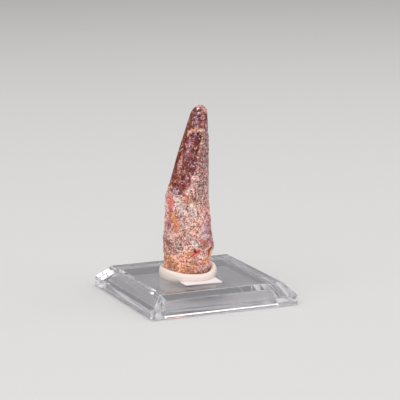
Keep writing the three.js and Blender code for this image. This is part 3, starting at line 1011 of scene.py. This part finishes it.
# the roll's section carried round the foot: from the middle of the underside out to the edge,
# over an arc from the plate to the tooth, then down the tooth's side and back to the middle
def makePutty():
    skip = tooth["around"] // putty["columns"]
    turn = angle[0, ::skip]
    c, s = np.cos(np.radians(turn)), np.sin(np.radians(turn))
    low, high = putty["holds"]
    foot = surface[(height[:, 0] > low) & (height[:, 0] < high)][:, ::skip]
    farthest = np.argmax(np.hypot(foot[..., 0], foot[..., 1]), 0)
    widest = np.take_along_axis(foot, farthest[None, :, None], 0)[0]
    inner = widest[:, :2] + putty["clear"] * np.stack([c, s], -1)
    uneven = 1 + sum(by * np.sin(np.radians(waves * turn + start)) for by, waves, start in putty["sway"])
    outer = np.stack([putty["halfWidth"] * c * uneven, putty["halfDepth"] * s * uneven], -1)
    arc = np.radians(np.linspace(*putty["arc"], putty["arcSteps"]))
    over = 0.5 + 0.5 * np.cos(arc)
    rise = np.where(arc < 0, 0.45 + 0.5 * np.sin(arc), 0.45 + 0.55 * np.sin(arc) ** 0.9)
    roll = inner + over[:, None, None] * (outer - inner)
    roll = np.concatenate([roll, (rise[:, None] * along(putty["top"], turn))[..., None]], -1)
    level = np.array([1, 1, 0])
    under = np.linspace(0.1, 0.92, 6)[:, None, None] * roll[:1] * level
    wall = np.concatenate([inner, np.full_like(inner[:, :1], putty["bed"])], -1)[None]
    bed = np.linspace(0.92, 0.1, 5)[:, None, None] * wall * level + np.array([0, 0, putty["bed"]])
    broad, small = putty["dentSizes"]
    dent = mottle(roll, broad, 15) + 0.3 * mottle(roll, small, 16)
    strength = putty["dents"] * np.clip(rise, 0, 1) * np.sin(np.linspace(0, math.pi, len(arc)))
    roll = roll + np.stack([c, s, 0 * c], -1) * (dent * strength[:, None])[..., None]
    rings = np.concatenate([under, roll, wall, bed])
    return makePiece("putty_collar", ontoStand(rings, {**seat, "z": standTop + putty["above"]}), True)


# one warm white, a little dull, with shallow dents
def whitePutty():
    finish = Finish("white putty")
    finish.set(Base_Color=putty["colour"], Roughness=putty["roughness"])
    finish.set(Specular_IOR_Level=putty["specular"])
    finish.set(Normal=finish.bump(finish.noise(1.2, 3), 0.06, 0.5))
    return finish.material


puttyPiece = makePutty()
puttyPiece.data.materials.append(whitePutty())
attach(puttyPiece, "root")
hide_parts("putty")
print("putty made")


# pad: a thin square of white foam under the putty, its free edge a little lifted

pad = {
    "side": 12.5, "thickness": 0.28, "x": -2.9, "y": -8.9, "z": standTop + 0.01, "turn": -3.5,
    "lift": 0.22, "liftFrom": 1.0, "corner": 0.5, "edge": 0.05, "middle": 0.4,
    "colour": shade(238, 228, 228), "roughness": 0.6,
}


# a rounded square section with rings between its middle and its edge, its front raised by the
# square of the distance past the putty
def makePad():
    half, thick, inside = pad["side"] / 2, pad["thickness"], pad["middle"]
    profile = roundedProfile([(inside, 0), (half, 0), (half, thick), (inside, thick)], pad["edge"], 3)
    shares = np.linspace(0, 1, 9)[1:-1, None]
    low = profile[:1] + shares * (profile[1:2] - profile[:1])
    high = profile[-2:-1] + shares * (profile[-1:] - profile[-2:-1])
    profile = np.concatenate([profile[:1], low, profile[1:-1], high, profile[-1:]])
    rings = squareRings(profile, pad["corner"], 6)
    forward = np.clip(-rings[..., 1] - pad["liftFrom"], 0, None) / (half - pad["liftFrom"])
    rings = rings + np.array([0, 0, 1]) * (pad["lift"] * forward ** 2)[..., None]
    return makePiece("foam_pad", ontoStand(rings, pad), False)


# one cool white, dull
def whitePad():
    finish = Finish("white pad")
    finish.set(Base_Color=pad["colour"], Roughness=pad["roughness"])
    return finish.material


padPiece = makePad()
padPiece.data.materials.append(whitePad())
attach(padPiece, "root")
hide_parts("adhesive_pad")
print("pad made")


# camera and studio

view = {
    "azimuth": -23.688, "elevation": 11.755, "distance": 665.3, "right": 1.737, "up": 30.558,
    "focal": 2057.257, "frame": 400, "sensor": 36, "nearest": 10,
}


# the camera's back, right and up from its two angles, and its place along them
def makeCamera():
    az, el = math.radians(view["azimuth"]), math.radians(view["elevation"])
    back = Vector((math.sin(az) * math.cos(el), -math.cos(az) * math.cos(el), math.sin(el)))
    right = Vector((math.cos(az), math.sin(az), 0))
    up = back.cross(right)
    camera = bpy.data.cameras.new("camera")
    camera.sensor_width = view["sensor"]
    camera.lens = view["focal"] / view["frame"] * camera.sensor_width
    camera.clip_start = view["nearest"] * mm
    holder = bpy.data.objects.new("camera", camera)
    bpy.context.scene.collection.objects.link(holder)
    holder.matrix_world = Matrix((right, up, back)).transposed().to_4x4()
    holder.location = (back * view["distance"] + right * view["right"] + up * view["up"]) * mm
    bpy.context.scene.camera = holder


floorLook = {"reach": 4000.0, "below": 0.05, "colour": shade(206, 205, 204), "roughness": 0.7}


# one large square just under the stand
def makeFloor():
    r, z = floorLook["reach"], -floorLook["below"]
    mesh = bpy.data.meshes.new("floor")
    corners = np.array([[r, -r, z], [r, r, z], [-r, r, z], [-r, -r, z]]) * mm
    mesh.from_pydata(corners, [], [(0, 1, 2, 3)])
    piece = bpy.data.objects.new("floor", mesh)
    bpy.context.scene.collection.objects.link(piece)
    finish = Finish("pale floor")
    finish.set(Base_Color=floorLook["colour"], Roughness=floorLook["roughness"])
    mesh.materials.append(finish.material)


softboxes = [
    {"name": "key", "at": (-900, -720, 770), "wide": 1900, "tall": 1600, "watts": 15.5},
    {"name": "fill", "at": (1150, -620, 800), "wide": 2000, "tall": 1600, "watts": 11},
    {"name": "top", "at": (60, 160, 1100), "wide": 900, "tall": 900, "watts": 7.5},
]
lightsAim = (0, 0, 20)
skyLight = 0.25


# soft boxes that all face one point low on the tooth, and an even grey sky
def makeLights():
    target = Vector(lightsAim) * mm
    for box in softboxes:
        light = bpy.data.lights.new(box["name"], "AREA")
        light.energy = box["watts"]
        light.shape = "RECTANGLE"
        light.size = box["wide"] * mm
        light.size_y = box["tall"] * mm
        holder = bpy.data.objects.new(box["name"], light)
        bpy.context.scene.collection.objects.link(holder)
        holder.location = Vector(box["at"]) * mm
        holder.rotation_euler = (target - holder.location).to_track_quat("-Z", "Y").to_euler()
    world = bpy.data.worlds.new("studio")
    bpy.context.scene.world = world
    world.use_nodes = True
    world.node_tree.nodes["Background"].inputs["Color"].default_value = (skyLight, skyLight, skyLight, 1)


makeCamera()
makeFloor()
makeLights()
bpy.context.scene.view_settings.view_transform = "Standard"
bpy.context.scene.cycles.max_bounces = 32  # light is turned back many times inside the plastic
bpy.context.scene.cycles.glossy_bounces = 24
bpy.context.scene.cycles.transmission_bounces = 24
print("studio made")
